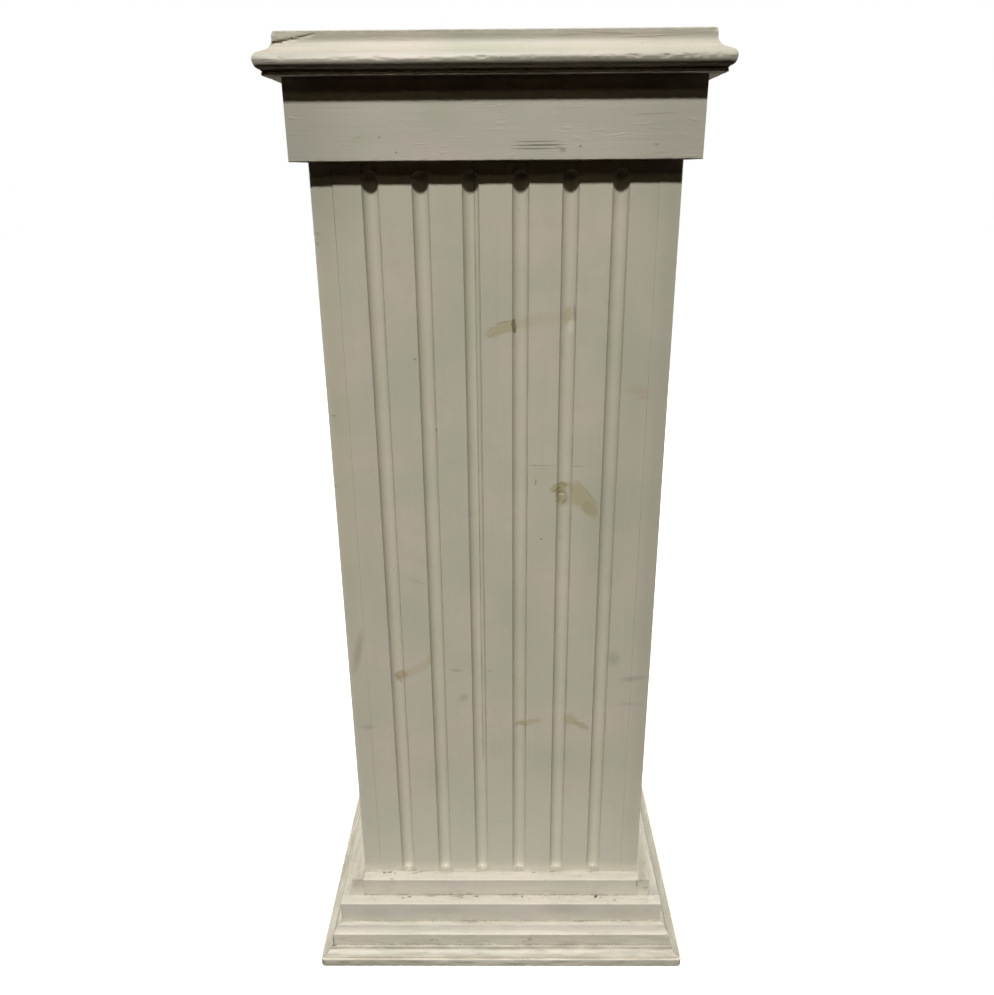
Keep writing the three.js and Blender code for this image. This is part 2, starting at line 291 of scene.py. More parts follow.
# %% List the marks on the frieze and the cornice
FRIEZE_MARKS = [
    (36, 915.0, 19, 0.45, 0.6, 0.8, "dark", 0.55), (38, 912.1, 21, 0.6, 0.3, 0.8, "dark", 0.7),
    (34, 909.3, 19, 0.5, -0.3, 0.8, "dark", 0.6), (56, 909.8, 5, 0.4, -4, 0.8, "line", 0.8),
    (73, 911, 0.9, 0.9, 0, 0.7, "dark", 0.6), (58, 908, 2.6, 1.8, 20, 0.9, "line", 0.6),
    (135, 936, 18, 0.4, 2, 0.9, "line", 0.8), (138, 912, 2.0, 1.2, 0, 0.8, "line", 0.8),
    (141, 905, 22, 0.7, 6, 1.0, "line", 0.25), (150, 902, 18, 0.5, 9, 1.0, "line", 0.25),
    (-118, 919, 5, 0.5, 18, 0.9, "line", 0.35), (-122, 915, 4, 0.4, 30, 0.9, "line", 0.25),
    (-99, 919, 0.9, 0.9, 0, 0.8, "deep", 0.6), (-85, 907, 0.9, 0.9, 0, 0.8, "deep", 0.6),
    (-40, 925, 60, 14, 0, 1.6, "grey", 0.12), (80, 935, 40, 6, 0, 1.6, "grey", 0.14),
    # painted shade: these two ovals darken the frieze towards both ends, and reach over the ends of the
    # cornice's nose
    (-180, 925, 46, 70, 0, 1.6, "grey", 0.85), (180, 925, 64, 70, 0, 1.6, "grey", 0.7),
]
CORNICE_MARKS = [
    (-178, 991.3, 4.5, 1.1, -3, 0.5, "dark", 1.0), (-166, 993.7, 12, 0.6, 9, 0.8, "line", 0.95),
    (-154, 996.6, 10, 0.5, 12, 0.8, "line", 0.9), (-168, 997, 12, 2.0, 6, 0.9, "pale", 0.7),
    (139, 978.4, 3.0, 0.35, -4, 0.7, "dark", 0.8), (112, 978.6, 4.0, 0.3, -4, 0.8, "dark", 0.5),
    (155, 977.8, 8, 0.4, 3, 0.8, "dark", 0.4), (-10, 978.4, 5, 0.3, 0, 0.8, "dark", 0.3),
    # painted highlight: the long pale line (-85, 979) along the nose's arris. The grey oval after it is
    # dirt and partly painted shade, darkening the left of the nose towards its belly
    (-85, 979.0, 98, 0.6, 0.5, 1.2, "pale", 0.6), (-110, 974.4, 84, 1.8, 0, 0.9, "grey", 0.35),
    (-125, 996.6, 42, 3.2, 0, 0.6, "grey", 0.5), (20, 996.8, 60, 3, 0, 0.8, "grey", 0.25),
    (95, 996.0, 30, 0.5, -3, 0.9, "line", 0.5), (130, 993.4, 24, 0.45, 2, 0.9, "line", 0.45),
    (-120, 978.4, 9, 0.5, 2, 0.9, "dark", 0.3), (60, 994.6, 14, 0.4, 4, 0.9, "line", 0.4),
]
print(len(FRIEZE_MARKS) + len(CORNICE_MARKS), "marks on the head")

# %% List the marks on the base
# where the height is a pair, the mark lies on a ledge: how far out it is, and the level
BASE_MARKS = [
    (-141, (167, 97), 3.0, 1.6, 0, 0.5, "deep", 0.8), (-134, (166.5, 97), 3.4, 1.0, 10, 0.5, "dark", 0.8),
    (-128, (168, 97), 1.6, 1.2, 0, 0.5, "deep", 0.7), (-97, (166, 97), 2.2, 0.8, 0, 0.6, "dark", 0.6),
    (-104, (168, 97), 4.0, 1.0, 8, 0.7, "line", 0.8), (40, (167, 97), 3.0, 0.9, 0, 0.6, "line", 0.9),
    (96, (172, 97), 1.1, 1.1, 0, 0.6, "deep", 0.7), (62, (166, 97), 5.0, 0.8, 4, 0.6, "line", 0.9),
    (163.5, 91.0, 0.9, 5.5, 0, 0.9, "line", 0.8), (-60, 74.8, 1.6, 0.7, 0, 0.6, "dark", 0.7),
    (-50, (180, 73), 6.0, 0.8, 8, 0.6, "deep", 0.9), (-38, 74.6, 4.0, 0.7, -6, 0.6, "dark", 0.7),
    (-29, (180.5, 73), 2.6, 1.4, 0, 0.5, "deep", 0.9), (-47, (182.5, 73), 3.0, 0.5, 20, 0.6, "dark", 0.7),
    (115, (180.5, 73), 2.8, 1.5, 30, 0.5, "dark", 0.95), (121, (182, 73), 2.2, 0.8, 10, 0.5, "deep", 0.7),
    (18, 74.6, 3.0, 0.8, 0, 0.6, "deep", 0.7), (26, (181, 73), 1.4, 1.4, 0, 0.5, "dark", 0.7),
    (34, (184, 73), 1.2, 0.8, 0, 0.5, "deep", 0.6), (-110, (181, 73), 2.4, 0.9, 0, 0.6, "dark", 0.7),
    (-118, (183, 73), 1.4, 1.2, 20, 0.5, "deep", 0.8), (-84, (180, 73), 5.0, 0.7, 0, 0.6, "line", 0.9),
    (137, (186, 73), 1.5, 1.6, 0, 0.6, "deep", 0.7), (-164, 74.8, 1.6, 0.8, 0, 0.6, "deep", 0.8),
    (77, 66, 24, 7, 0, 1.5, "grey", 0.4), (-73, 63.4, 30, 5, 0, 1.5, "grey", 0.3),
    (-191.0, 59, 0.5, 8, 0, 0.8, "deep", 0.6), (-181, 63, 0.9, 1.1, 0, 0.6, "pale", 0.9),
    (-150, 58, 16, 9, 0, 1.6, "grey", 0.25), (150, 60, 26, 8, 0, 1.6, "rust", 0.2),
    (95, (193, 45.8), 4, 0.6, 0, 0.6, "line", 0.6), (-105, (193, 45.8), 4, 0.5, 0, 0.6, "line", 0.6),
    (-201.6, 26, 0.5, 8, 0, 0.6, "dark", 0.75), (-169, 23.5, 1.0, 1.0, 0, 0.6, "pale", 1.0),
    (-83, 27.4, 3.0, 0.7, 18, 0.6, "dark", 0.5), (-77, 26.0, 1.6, 0.6, -10, 0.6, "deep", 0.6),
    (28, 24.6, 3.5, 0.6, 12, 0.7, "line", 0.7), (35, 27.6, 3.0, 2.0, 30, 1.0, "line", 0.5),
    (-201, (203.6, 19.5), 3.0, 0.9, 0, 0.5, "dark", 0.8), (-93.5, 13.6, 0.6, 2.0, 6, 0.6, "dark", 0.7),
    (-125, 13.0, 2.6, 0.6, 0, 0.7, "deep", 0.6), (-119, 14.4, 1.6, 0.5, 12, 0.7, "line", 0.8),
    (47, 15.6, 7.0, 0.5, 2, 0.7, "line", 0.7), (135, 14.0, 2.0, 0.7, 0, 0.7, "line", 0.8),
    (-64, 12.9, 5.0, 0.5, 0, 0.7, "deep", 0.5), (-28, 13.2, 4.0, 0.5, 0, 0.8, "line", 0.7),
    (94, 12.6, 6.0, 0.5, 0, 0.8, "deep", 0.4), (172, 13.6, 3.0, 0.6, 8, 0.7, "line", 0.7),
]
SIDE_MARKS = [
    # (171, ledge): painted shade on the right ledge beside the shaft, where its shadow falls. The ovals
    # after it darken the outer faces and hollows of the sides, partly dirt and partly painted shade
    (171, (130, 97), 7, 45, 0, 1.0, "line", 0.5),
    (207, 45, 26, 60, 0, 0.4, "grey", 0.5), (-207, 45, 26, 60, 0, 0.4, "grey", 0.45),
    (213, 14, 5, 8, 0, 0.8, "line", 0.7), (-213, 14, 5, 8, 0, 0.8, "line", 0.5),
    (201, 36, 4, 8, 0, 0.8, "line", 0.5), (-201, 36, 4, 8, 0, 0.8, "line", 0.35),
]
FOOT_MARKS = [
    (-103, 7.6, 8, 1.2, 0, 1.2, "line", 0.6), (142, 6.6, 9, 1.4, 0, 1.4, "line", 0.5),
    (70, 7.4, 10, 1.4, 0, 1.4, "line", 0.5), (-187, 6.6, 7, 2.0, 0, 1.3, "line", 0.6),
    (-40, 6.4, 12, 1.6, 0, 1.3, "line", 0.5), (20, 4.0, 12, 2.0, 0, 1.0, "deep", 0.3),
    (-1, 8.8, 15, 1.3, 0, 0.8, "pale", 0.8), (178, 7.6, 12, 1.6, 0, 0.8, "pale", 0.7),
    (108, 8.6, 11, 1.2, 0, 0.8, "pale", 0.8), (-150, 8.6, 20, 1.3, 0, 0.8, "pale", 0.6),
    (-66, 9.4, 10, 0.8, 0, 0.8, "pale", 0.7), (-214, 7.0, 2.4, 3.0, 0, 0.6, "deep", 0.7),
    (-160, 6.0, 80, 20, 0, 1.6, "line", 0.3), (190, 6.0, 70, 20, 0, 1.6, "line", 0.24),
]
print(len(BASE_MARKS) + len(SIDE_MARKS) + len(FOOT_MARKS), "marks on the base")

# %% [markdown]
# ## Painted pine
# The finish is an eggshell paint brushed on pine: nearly matt, with a soft sheen. Under a
# low light the eye finds the brush marks, the harder lines of late wood that print through
# along the grain, dull rubbed patches, dirt in the inner corners, and arrises where the
# paint is thin. Some of the darkening is painted shade: in the tops of the flutes, towards
# the right of the base, at the risers' feet, at the upright top of a hollow and down the
# cornice's nose. Grain and brush run the length of each piece, so the same tree is made
# once for each direction. Three attributes painted on the meshes help it: *edge* is 1 on
# an arris, *nook* is 1 deep in an inner corner and in the ends of a flute, and
# *grime_and_shade* is where a grey layer streaks: dirt, the rims' darker line, and painted
# shade.

# %% Write the paint's material
ALONG = {"X": Vector((1, 0, 0)), "Y": Vector((0, 1, 0)), "Z": Vector((0, 0, 1))}


def painted_pine(name, along, soil=0.0, marks=(), front=0.0, tones=("#C4C2AB", "#D2C8B6"),
                 dust_and_shade=0.0, settles=(0.15, 0.9), ridged=1.0):
    """along: the way of the grain. soil: 0 clean to 1 as dirty as a skirting.

    marks stay on faces in front of front, in mm, or on their ledge. dust_and_shade: how grey
    the ledges and hollows are, 0 to 1, and how much painted shade greys them more towards the
    right, and settles: how level a face must be to hold any of it, and all of it. ridged: how
    high the brush left the paint where it was lifted.
    """
    made = bpy.data.materials.new(name)
    made.use_nodes = True
    tree = made.node_tree
    shader = tree.nodes["Principled BSDF"]
    metres = add(tree, "ShaderNodeTexCoord", out="Object")
    mm = add(tree, VECTOR, metres, named={3: 1 / MM}, operation="SCALE")
    place = add(tree, SPLIT, mm, out=None).outputs
    # the same space, drawn out 45 times along the grain for fibres, and 7 times for streaks
    fibre, drawn_out = (
        add(tree, VECTOR, mm, tuple(Vector((1, 1, 1)) - ALONG[along] * (1 - 1 / times)),
            operation="MULTIPLY") for times in (45, 7))

    # Each noise: its space, the size of a feature in mm, detail, roughness and distortion.
    # So brush marks are 2 mm apart and some 90 mm long, late-wood lines 7 mm and 300 mm
    brush, wood, cloud, speckle, streak, patch, chance, daub = (
        add(tree, NOISE, space, named={"Scale": 1 / size, "Detail": detail, "Roughness": rough,
                                       "Distortion": swirl})
        for space, size, detail, rough, swirl in (
            (fibre, 2.0, 3, 0.6, 0), (fibre, 7.0, 2, 0.5, 0.4), (mm, 75, 4, 0.55, 0),
            (mm, 3.5, 3, 0.6, 0), (drawn_out, 6, 4, 0.65, 0), (mm, 38, 5, 0.7, 0),
            (mm, 9, 5, 0.7, 0), (drawn_out, 3.2, 1, 0.5, 0.6)))
    line = add(tree, RANGE, add(tree, "ABSOLUTE", add(tree, "SUBTRACT", wood, 0.5)),
               0.0, 0.03, 1.0, 0.0, interpolation_type="SMOOTHSTEP")
    edge, nook, grime_and_shade = (add(tree, "ShaderNodeAttribute", out="Fac", attribute_name=label)
                         for label in ("edge", "nook", "grime_and_shade"))

    # What lies over the paint, from the first coat to the last mark: how much, and its tone
    layers = [(add(tree, "MULTIPLY", line, 0.03), "#A9A38C")]

    # Rubbed patches, a hand's breadth across, with a ragged inside
    rubbed = add(tree, RANGE, patch, 0.56, 0.70, 0.0, 0.14 + 0.12 * soil)
    layers.append((rubbed, "#A9A491"))

    # Kicks and mop water: brown near the floor, fading by 60 mm up, or just above the base
    fades, starts, most, least = (60.0, 4.0, 0.42 * soil, 0.05)
    if along == "Z":
        fades, starts, most, least = (124.0, 98.0, 0.25, 0.6)
    low = add(tree, RANGE, place["Z"], fades, starts, 0.0, most)
    layers.append((add(tree, "MULTIPLY", low, add(tree, RANGE, streak, 0.44, 0.60, least, 1.0)),
                   "#8F8570"))

    # Dust lies on ledges and in hollows; its growth towards the right is painted shade, the right side
    # darker as if in the shaft's shadow
    normal = add(tree, "ShaderNodeNewGeometry", out="True Normal")
    skyward = add(tree, SPLIT, normal, out="Z")
    if dust_and_shade:
        lies = add(tree, "MULTIPLY", add(tree, RANGE, skyward, *settles, 0.0, dust_and_shade),
                   add(tree, RANGE, place["X"], -190, 200, 0.8, 1.0 + dust_and_shade))
        lies = add(tree, "MULTIPLY", lies, add(tree, RANGE, streak, 0.35, 0.62, 0.6, 1.1),
                   use_clamp=True)
        layers.append((lies, "#A19D8F"))

    # A grey layer that streaks along the run: dirt, a darker line along the flutes' rims, and painted
    # shade at the risers' feet, at the upright top of a hollow and down the cornice's nose
    film_and_shade = add(tree, "MULTIPLY", grime_and_shade, add(tree, RANGE, streak, 0.36, 0.60, 0.35, 0.85))
    layers.append((film_and_shade, "#8D8873"))

    # Fine dark specks, more of them where the piece is soiled
    layers.append((add(tree, RANGE, speckle, 0.70 - 0.02 * soil, 0.76, 0.0, 0.35 + 0.1 * soil),
                   "#6F6450"))

    # Worn arrises: rubbed pale first, then down to brown wood in small breaks
    for starts, ends, most, tint in ((0.40, 0.62, 0.55 - 0.25 * soil, "#D9D2C0"),
                                     (0.66 - 0.06 * soil, 0.70, 0.75, "#77684C")):
        worn = add(tree, RANGE, chance, starts, ends, 0.0, most)
        layers.append((add(tree, "MULTIPLY", edge, worn), tint))

    # Dirt in the inner corners and painted shade in the tops of the flutes, broken up so that it doesn't
    # draw a ruled line
    dashes = add(tree, "MULTIPLY", add(tree, "ADD", speckle, streak), 0.5)
    held = add(tree, "MULTIPLY", nook, add(tree, RANGE, dashes, 0.50, 0.57, 0.12, 1.0))
    held = add(tree, "MULTIPLY", held, add(tree, RANGE, patch, 0.45, 0.60, 0.2 + 0.4 * soil, 1.0))
    layers.append((add(tree, "MULTIPLY", held, 0.55 + 0.3 * soil), "#5A4F3C"))

    # The table of marks. Broad ones get a ragged rim, thin ones a fine one
    if marks:
        facing = add(tree, "LESS_THAN", place["Y"], -front)
        lying = add(tree, "GREATER_THAN", skyward, 0.7)
        standing = add(tree, "SUBTRACT", facing, lying, use_clamp=True)
        ragged = add(tree, NOISE, mm, out=1, named={"Scale": 1 / 5, "Detail": 4, "Roughness": 0.65})
        ragged = add(tree, VECTOR, ragged, (0.5, 0.5, 0.5), operation="SUBTRACT")
        spots = {}
        for label, sway in (("broad", 5.0), ("thin", 0.9)):
            shift = add(tree, VECTOR, ragged, named={3: sway}, operation="SCALE")
            swayed = add(tree, VECTOR, mm, shift, operation="ADD")
            spots[label] = add(tree, SPLIT, swayed, out=None).outputs
        for across, height, wide, high, turned, feather, colour, strength in marks:
            spot = spots["thin" if min(wide, high) < 1.5 else "broad"]
            up, limit = spot["Z"], standing
            if isinstance(height, tuple):  # on a ledge: how far out it is, and the ledge's level
                level = add(tree, "COMPARE", place["Z"], height[1], 1.2)
                up, height, limit = spot["Y"], -height[0], add(tree, "MULTIPLY", level, lying)
            mask = add(tree, "ShaderNodeGroup", spot["X"], up, across, height, wide, high,
                       math.radians(turned), feather, node_tree=OVAL_MARK)
            share = add(tree, "MULTIPLY", add(tree, "MULTIPLY", mask, strength), limit)
            layers.append((share, STAIN_SHADE_AND_LIGHT[colour]))

    # The paint itself wanders between two tones, a little lighter and darker with the brush
    paint = add(tree, MIX, add(tree, RANGE, cloud, 0.32, 0.68), out=2, data_type="RGBA",
                named={6: tone(tones[0]), 7: tone(tones[1])})
    worked = add(tree, RANGE, brush, 0.25, 0.75, 0.985, 1.012)
    paint = add(tree, MIX, 1.0, named={6: paint, 7: worked}, out=2, data_type="RGBA",
                blend_type="MULTIPLY")
    for share, tint in layers:
        paint = add(tree, MIX, share, named={6: paint, 7: tone(tint)}, out=2, data_type="RGBA")
    tree.links.new(paint, shader.inputs["Base Color"])

    sheen = add(tree, RANGE, brush, 0.3, 0.7, 0.46, 0.60)
    dull = add(tree, "ADD", sheen, add(tree, "MULTIPLY", rubbed, 0.3))
    tree.links.new(dull, shader.inputs["Roughness"])
    shader.inputs["IOR"].default_value = 1.5

    # Relief: fine brush marks, faint grain, short ridges where the brush was lifted, and grit
    relief = add(tree, "SUBTRACT", brush, add(tree, "MULTIPLY", line, 0.35))
    daub = add(tree, RANGE, daub, 0.60, 0.68, interpolation_type="SMOOTHSTEP")
    lifted = add(tree, RANGE, patch, 0.58 - 0.06 * ridged, 0.66, 0.0, ridged)
    relief = add(tree, "ADD", relief, add(tree, "MULTIPLY", daub, lifted))
    relief = add(tree, "ADD", relief, add(tree, "MULTIPLY", speckle, 0.5))
    bump = add(tree, "ShaderNodeBump", named={"Strength": 0.5, "Distance": 0.12 * MM,
                                              "Height": relief})
    tree.links.new(bump, shader.inputs["Normal"])
    print(f"{name}: {len(tree.nodes)} nodes")
    return made


# %% Mix the paint for each kind of piece
EVERYWHERE = -1000  # a front so far back that marks stay on every upright face
FINISH = {
    "shaft": painted_pine("brushed eggshell on pine, upright grain", "Z", 0.15,
                          SHAFT_MARKS, SHAFT_FACE - 6),
    "head X": painted_pine("brushed eggshell on pine, frieze and cornice", "X", 0.25,
                           FRIEZE_MARKS + CORNICE_MARKS, SHAFT_FACE + 8,
                           ("#C4C2AE", "#D2C8B9"), ridged=2.5),
    "head Y": painted_pine("brushed eggshell on pine, side mouldings", "Y", 0.25),
    "base X": painted_pine("scuffed eggshell on pine, skirting", "X", 0.9, BASE_MARKS,
                           SHAFT_FACE + 8, ("#D1CDBD", "#DCD4C5"), 0.3, (0.6, 0.98)),
    "base Y": painted_pine("scuffed eggshell on pine, side skirting", "Y", 1.4,
                           SIDE_MARKS, EVERYWHERE, ("#CFCBBA", "#DAD1C1"), 0.72),
    "foot": painted_pine("worn eggshell on pine, foot board", "X", 0.9, FOOT_MARKS, 200,
                         ("#D6D0BD", "#DDD5C3")),
}
print(len(FINISH), "finishes")

# %% [markdown]
# ## From profile to mesh
# Each strip of trim is one profile pushed along a side. We draw the profile as a list of
# reach and height in millimetres, measured from the back of the strip, and add points
# where the curve needs them. How near a point is to an arris or an inner corner is kept
# with it, for the paint.

# %% Draw arcs and fill in long straights
def arc(cx, cy, rx, ry, start, end, step=9):
    count = max(3, math.ceil(abs(end - start) / step))
    turns = [math.radians(start + (end - start) * i / count) for i in range(count + 1)]
    return [(cx + rx * math.cos(a), cy + ry * math.sin(a)) for a in turns]


def nearness(point, places, radius):
    """1 at one of the places, 0 from radius on. A third number makes a place weaker."""
    return max(0.0, *((p[2] if len(p) > 2 else 1) * (1 - math.dist(point, p[:2]) / radius)
                      for p in places)) if places else 0.0


def filled_in(loop, steps):
    """The closed loop with more points. steps gives the spacing wanted at a point, in mm."""
    out = []
    for here, there in zip(loop, loop[1:] + loop[:1]):
        long, at = math.dist(here, there), 0.0
        while at < long - 1e-6:
            spot = tuple(a + (b - a) * at / long for a, b in zip(here, there))
            out.append(spot)
            step = steps(spot)
            at = long if long - at < 1.4 * step else at + step
    return out


def clockwise(loop):
    """A profile that runs clockwise sweeps to a mesh that faces outwards."""
    area = sum(a[0] * b[1] - b[0] * a[1] for a, b in zip(loop, loop[1:] + loop[:1]))
    return loop[::-1] if area > 0 else loop


print("a square 10 mm wide, filled in:", len(filled_in([(0, 0), (10, 0), (10, 10), (0, 10)],
                                                       lambda spot: 2.0)), "points")

# %% Find what shows of each layer
LAYERS = ("lower_cove", "upper_cove", "lower_step", "upper_step")
TOPS = [BOARD_BOTTOM, *(levels(group + "_front")[1] for group in LAYERS)]
SEEN = dict(zip(LAYERS, zip(TOPS, TOPS[1:])))
SEEN["cornice"] = levels("cornice_front")
SEEN["frieze"] = (FRIEZE_BOTTOM, SEEN["cornice"][0])
print("heights between which each layer shows:", {k: [round(z, 1) for z in v] for k, v in SEEN.items()})

# %% Draw the plain strip and the hollow moulding
ARRIS = 0.9  # the radius to which paint and handling ease an edge
SHARP = 0.35  # and the radius of a moulding's fine arrises, which paint alone eases
HIDDEN_STEP, PLAIN_STEP, FINE_STEP = 14.0, 2.0, 0.6  # the spacing of a profile's points, in mm


def profile(group, loop, arrises, nooks, beads=(), grime_and_shade=()):
    """The loop with its points, few where nobody sees it, and the places that are worn."""
    low, high = SEEN[group]
    fine = [p[:2] for p in [*arrises, *nooks, *beads]]

    def steps(spot):
        if spot[0] < 0.6 or not low - 1.5 < spot[1] < high + 1.5:
            return HIDDEN_STEP
        return FINE_STEP if nearness(spot, fine, 3.2) else PLAIN_STEP

    return {"loop": filled_in(clockwise(loop), steps), "back": reach(group + "_front", 0),
            "edge": arrises, "nook": nooks, "bead": beads, "grime_and_shade": grime_and_shade}


def section(group):
    """The bottom, top and thickness of a strip, and the heights between which it shows."""
    node = group + "_front"
    return *levels(node), reach(node) - reach(node, 0), *SEEN[group]


def strip_profile(group, beads=False, film_and_shade=(0.35, 0.2)):
    """A plain strip. A bead of old paint and filler lies along its foot, with a darker band over it:
    dirt, and painted shade at the riser's foot.
    """
    bottom, top, wide, low, high = section(group)
    loop = [(0, bottom), *arc(wide - ARRIS, bottom + ARRIS, ARRIS, ARRIS, -90, 0),
            *arc(wide - ARRIS, top - ARRIS, ARRIS, ARRIS, 0, 90), (0, top)]
    arrises = [(wide, bottom), (wide, top)]
    if not beads:
        return profile(group, loop, arrises, [(wide, high, 0.6)])
    # the darker band up the riser's foot is dirt and painted shade
    return profile(group, loop, arrises, [(0, top, 0.3), (wide, low, 0.9)], [(wide, low)],
                   [(wide, low + 0.5 + 3 * i, share) for i, share in enumerate(film_and_shade)])


def cove_profile(group, ledge, drop, beads=False, flatness=0.0, film_and_shade=1.0):
    """A flat ledge, then a hollow that starts upright and ends level at the outer face.

    flatness: 0 for a true quarter, 1 for a straight slope.
    """
    bottom, top, wide, low, _ = section(group)
    lip = top - drop  # where the hollow ends and the outer face begins
    hollow = arc(wide - SHARP, top, wide - ledge - SHARP, drop, -180, -90)
    hollow = [tuple(c + flatness * (a + (b - a) * i / (len(hollow) - 1) - c)
                    for a, b, c in zip(hollow[0], hollow[-1], here))
              for i, here in enumerate(hollow)]
    outer, inner = (arc(x - SHARP, z - SHARP, SHARP, SHARP, 0, 90)
                    for x, z in ((wide, lip), (ledge, top)))
    loop = [(0, bottom), (wide - SHARP, bottom), *outer, *reversed(hollow[1:-1]), *inner, (0, top)]
    # the darker band at the upright top of the hollow, under the ledge's edge, is dirt and painted shade
    return profile(group, loop, [(wide, lip), (ledge, top), (wide, bottom)],
                   [(0, top, 0.4), (wide, low, 0.5)], [(wide, low)] if beads else [],
                   [(wide, low + 1, 0.25), (ledge, top - 1.4, film_and_shade),
                    *((*hollow[-i], 0.4 * film_and_shade) for i in (2, 5))])


print(f"lower hollow: {len(cove_profile('lower_cove', 2.5, 6.8)['loop'])} points")

# %% Name the cornice's sizes and headings
# A heading is the angle of travel below level: 0 goes outwards, 90 straight down
TOP_WIDTH, TOP_EASE, FILLET_DROP = 4, 1.2, 6.5
COVE_RADIUS, SLOPE_HEADING, SLOPE_LENGTH = 8.8, 22, 4.8
SHOULDER_RADIUS, SHOULDER_END = 8, 78
NOSE_HEADING, NOSE_DROP, BELLY_RADIUS, BELLY_END = 98, 1.8, 6.8, 165
print("radii of the cove, shoulder and belly, mm:", COVE_RADIUS, SHOULDER_RADIUS, BELLY_RADIUS)


# %% Draw the cornice from the top edge down to the soffit
def cornice_profile():
    bottom, top = SEEN["cornice"]
    path = [(0.0, top)]

    def go(outwards, downwards):
        path.append((path[-1][0] + outwards, path[-1][1] - downwards))

    def curve(radius, start, end):
        side = 1 if end > start else -1  # bulging where the heading grows
        a = math.radians(start)
        cx = path[-1][0] - side * radius * math.sin(a)
        cz = path[-1][1] - side * radius * math.cos(a)
        for c, s in arc(0, 0, radius, radius, start, end)[1:]:
            path.append((cx + side * s, cz + side * c))

    go(TOP_WIDTH - TOP_EASE, 0)
    curve(TOP_EASE, 0, 90)
    edge_top = path[-1]
    go(0, FILLET_DROP - TOP_EASE)
    curve(COVE_RADIUS, 90, SLOPE_HEADING)
    slope = math.radians(SLOPE_HEADING)
    go(SLOPE_LENGTH * math.cos(slope), SLOPE_LENGTH * math.sin(slope))
    curve(SHOULDER_RADIUS, SLOPE_HEADING, SHOULDER_END)
    arris = path[-1]
    go(NOSE_DROP / math.tan(math.radians(NOSE_HEADING)), NOSE_DROP)
    curve(BELLY_RADIUS, NOSE_HEADING, BELLY_END)
    go(-0.8, 0.8)
    go(-0.6, 0.7)  # a small sunk line
    quirk = path[-1]
    go(0.6, 0.5)
    lip = (path[-1][0], bottom)
    path.extend([lip, (0.0, bottom)])
    # the band down the nose is dirt and painted shade, darkening the nose towards its belly as on a
    # rounder nose
    nose = [(arris[0] - 0.5 * i, arris[1] - 1.6 * i) for i in (1, 2, 3, 4)]
    return profile("cornice", path, [(TOP_WIDTH, top), edge_top, arris, lip],
                   [(*quirk, 0.7), (0, bottom, 0.5)],
                   grime_and_shade=[*nose, (TOP_WIDTH, top - 1.5, 0.5), (TOP_WIDTH, top - 4.5, 0.45)])


print(f"cornice: {len(cornice_profile()['loop'])} points")

# %% [markdown]
# ## A mitred run in Geometry Nodes
# A moulding is a rule: one profile along one line, cut at 45 degrees at each end. So the
# tree sweeps the profile along a line from -1 to 1, and then gives every point its true
# place. On a mitre the run is as long as its own distance from the axis, and that is all
# the cut needs. A square end has one half length for every point. Last, a noise presses
# the arrises in here and there, as knocks do. The seed moves the noise, so no two runs
# wear alike.

# %% Write what every tree needs: its inputs, the knocks and the end
STORED, MOVED = "GeometryNodeInputNamedAttribute", "GeometryNodeSetPosition"


def new_tree(name, **inputs):
    """A geometry tree with a socket for each named input, and the sockets that it reads."""
    tree = bpy.data.node_groups.new(name, "GeometryNodeTree")
    tree.interface.new_socket("Geometry", in_out="INPUT", socket_type="NodeSocketGeometry")
    for label, kind in inputs.items():
        tree.interface.new_socket(label.replace("_", " "), in_out="INPUT",
                                  socket_type="NodeSocket" + kind)
    tree.interface.new_socket("Geometry", in_out="OUTPUT", socket_type="NodeSocketGeometry")
    return tree, add(tree, "NodeGroupInput", out=None).outputs


def knocked(tree, geometry, given):
    """Press the surface in along its normal, arrises most. Beads of old paint swell out."""
    where = add(tree, VECTOR, add(tree, "GeometryNodeInputPosition"), named={3: 1 / MM},
                operation="SCALE")
    where = add(tree, VECTOR, where, add(tree, JOIN, given["Seed"], 0.0, 0.0), operation="ADD")
    edge, bead = (add(tree, STORED, label, data_type="FLOAT") for label in ("edge", "bead"))
    chance, swell, lumps = (
        add(tree, NOISE, where, named={"Scale": 1 / size, "Detail": detail, "Roughness": rough})
        for size, detail, rough in ((7, 4, 0.65), (45, 2, 0.5), (8, 4, 0.6)))
    knock = add(tree, "MULTIPLY", add(tree, RANGE, chance, 0.46, 0.72, 0.0, 1.0), edge)
    knock = add(tree, "MULTIPLY", knock, given["Wear"])
    wave = add(tree, "MULTIPLY", swell, given["Wave"])
    lumps = add(tree, "MULTIPLY", bead, add(tree, RANGE, lumps, 0.54, 0.64, 0.0, 1.3))
    inwards = add(tree, "SUBTRACT", add(tree, "ADD", knock, wave), lumps)
    offset = add(tree, VECTOR, add(tree, "GeometryNodeInputNormal"), operation="SCALE",
                 named={3: add(tree, "MULTIPLY", inwards, -MM)})
    return add(tree, MOVED, named={"Geometry": geometry, "Offset": offset})


def finished_off(tree, geometry, given):
    real = add(tree, "GeometryNodeRealizeInstances", geometry)
    painted = add(tree, "GeometryNodeSetMaterial",
                  named={"Geometry": real, "Material": given["Finish"]})
    add(tree, "NodeGroupOutput", painted, out=None)
    print(f"{tree.name}: {len(tree.nodes)} nodes")
    return tree


